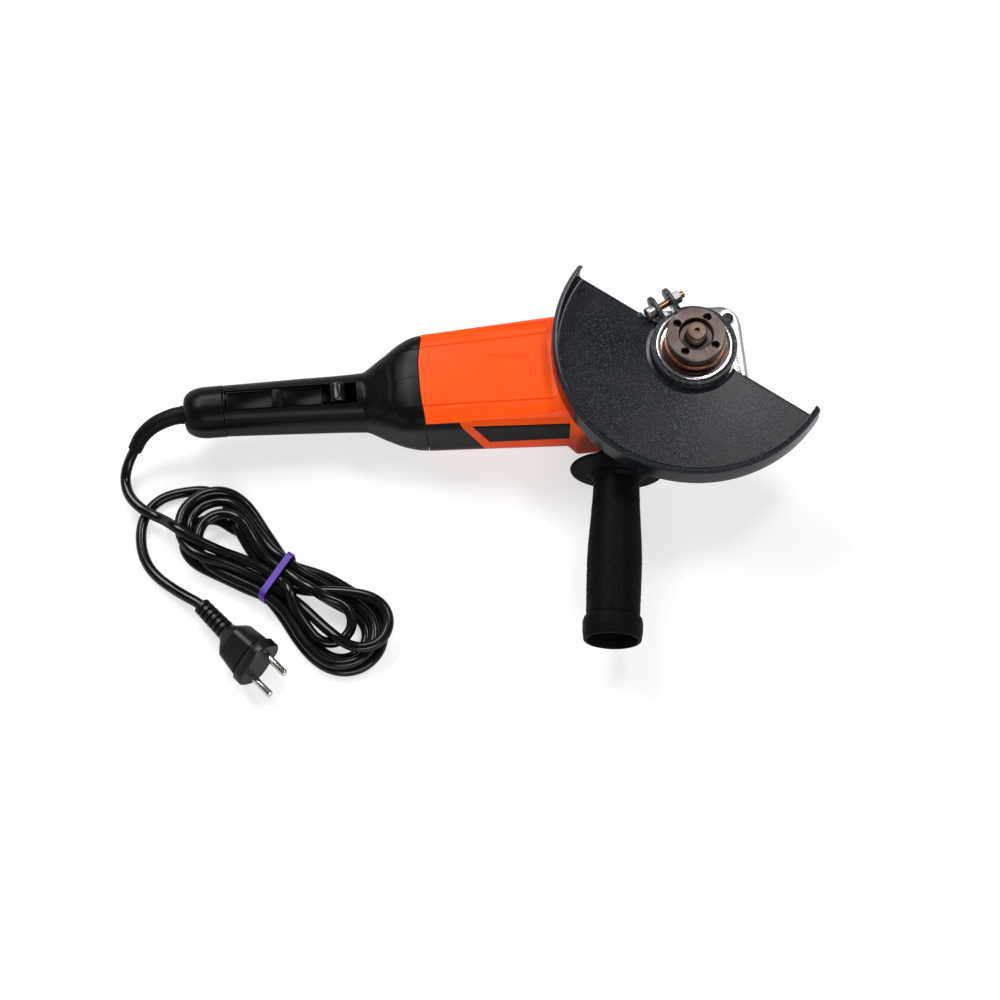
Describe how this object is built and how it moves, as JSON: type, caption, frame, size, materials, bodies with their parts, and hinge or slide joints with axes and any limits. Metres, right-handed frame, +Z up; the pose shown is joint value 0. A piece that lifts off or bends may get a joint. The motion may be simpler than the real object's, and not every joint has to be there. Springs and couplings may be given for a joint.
{
  "type": "angle grinder",
  "caption": "Large two-handed angle grinder lying face down, with wheel guard, side handle, paddle switch, rear handle and bundled mains cord.",
  "frame": {"origin": "where the spindle axis meets the surface that the face-down grinder lies on, on the flat top of its gear housing", "axes": "+Z up along the spindle towards the lock nut, +X along the motor from the rear handle to the nose, -Y towards the fitted side handle"},
  "size_m": [0.4826, 0.2663, 0.107],
  "materials": {
    "orange_shell": "satin glass-filled nylon, orange",
    "black_plastic": "matte moulded nylon, near black",
    "gloss_black": "glossy moulded plastic, black",
    "plug_plastic": "semi-gloss moulded PVC, black",
    "grip_rubber": "pebbled soft grip, near black",
    "cast_alloy": "bright die-cast alloy, fine grain",
    "guard_paint": "satin black powder coat",
    "dark_steel": "brown-black oxide, brushed",
    "copper_steel": "copper-brown oxide, brushed",
    "bright_steel": "bright ground steel",
    "black_oxide": "black oxide",
    "yellow_zinc": "yellow zinc plate",
    "lamination": "stacked lamination",
    "copper_wire": "varnished copper",
    "brass_sheet": "plain brass",
    "carbon": "pressed graphite",
    "cord_rubber": "smooth black cord sheath",
    "tie_strap": "violet plastic strap",
    "nickel": "bright nickel plate"
  },
  "bodies": {
    "machine": {"gear_housing": "cast_alloy", "bearing_cover": "cast_alloy", "cover_screw_1": "black_oxide", "cover_screw_2": "black_oxide", "cover_screw_3": "black_oxide", "cover_screw_4": "black_oxide", "spindle_ball_bearing": "bright_steel", "spindle_needle_bearing": "bright_steel", "motor_housing": "orange_shell", "brush_cover_right": "black_plastic", "brush_cover_left": "black_plastic", "badge_plate_right": "black_plastic", "badge_plate_left": "black_plastic", "housing_screw_1": "bright_steel", "housing_screw_2": "bright_steel", "housing_screw_3": "bright_steel", "housing_screw_4": "bright_steel", "stator_core": "lamination", "field_coil_upper": "copper_wire", "field_coil_lower": "copper_wire", "armature_bearing_front": "bright_steel", "armature_bearing_rear": "bright_steel", "fan_baffle": "black_plastic", "brush_holder_right": "brass_sheet", "brush_holder_left": "brass_sheet", "carbon_brush_right": "carbon", "carbon_brush_left": "carbon", "handle_shell_right": "black_plastic", "handle_shell_left": "black_plastic", "handle_end_cap": "black_plastic", "switch_body": "black_plastic", "strain_relief": "cord_rubber", "cord_lead": "cord_rubber", "cord_plug_lead": "cord_rubber", "cord_hank": "cord_rubber", "hank_tie": "tie_strap", "plug_body": "plug_plastic", "plug_pin_1": "nickel", "plug_pin_2": "nickel"},
    "armature": {"armature_shaft": "bright_steel", "armature_core": "lamination", "armature_winding": "copper_wire", "commutator": "copper_wire", "cooling_fan": "black_plastic", "bevel_pinion": "bright_steel"},
    "spindle": {"spindle": "dark_steel", "bevel_gear": "bright_steel", "inner_flange": "copper_steel"},
    "lock_nut": {"lock_nut": "dark_steel"},
    "guard": {"guard_pan": "guard_paint", "guard_collar": "guard_paint", "clamp_screw": "bright_steel", "clamp_nut": "yellow_zinc"},
    "side_handle": {"side_handle_grip": "grip_rubber", "side_handle_stud": "bright_steel"},
    "paddle": {"paddle_switch": "black_plastic"},
    "lock_lever": {"lock_off_lever": "gloss_black"},
    "plunger": {"switch_plunger": "copper_wire"},
    "spindle_lock": {"spindle_lock_button": "black_plastic"}
  },
  "joints": [
    {"name": "armature_spin", "type": "hinge", "parent": "machine", "child": "armature", "pos_m": [-0.13, 0, 0.038], "axis": [1, 0, 0], "continuous": true},
    {"name": "spindle_spin", "type": "hinge", "parent": "machine", "child": "spindle", "pos_m": [0, 0, 0.05], "axis": [0, 0, 1], "continuous": true},
    {"name": "lock_nut_off", "type": "slide", "parent": "spindle", "child": "lock_nut", "axis": [0, 0, 1], "range_m": [0, 0.02]},
    {"name": "guard_turn", "type": "hinge", "parent": "machine", "child": "guard", "pos_m": [0, 0, 0.08], "axis": [0, 0, 1], "continuous": true},
    {"name": "side_handle_off", "type": "slide", "parent": "machine", "child": "side_handle", "axis": [-0.134, -0.991, 0], "range_m": [0, 0.022]},
    {"name": "paddle_press", "type": "hinge", "parent": "machine", "child": "paddle", "pos_m": [-0.3175, 0, 0.048], "axis": [0, 1, 0], "range_deg": [0, 5], "stiffness_Nm_per_rad": 4, "springref_deg": -2.86},
    {"name": "lock_off_tilt", "type": "hinge", "parent": "paddle", "child": "lock_lever", "pos_m": [-0.253, 0, 0.043], "axis": [0, 1, 0], "range_deg": [0, 20], "stiffness_Nm_per_rad": 0.05, "springref_deg": -11.46},
    {"name": "plunger_slide", "type": "slide", "parent": "machine", "child": "plunger", "axis": [0, 0, -1], "range_m": [0, 0.0045]},
    {"name": "spindle_lock_press", "type": "slide", "parent": "machine", "child": "spindle_lock", "axis": [0, 0, 1], "range_m": [0, 0.003], "stiffness_N_per_m": 800, "springref_m": -0.002}
  ],
  "couplings": [
    {"joint": "spindle_spin", "follows": "armature_spin", "ratio": 0.33333},
    {"joint": "plunger_slide", "follows": "paddle_press", "m_per_rad": 0.0485}
  ]
}
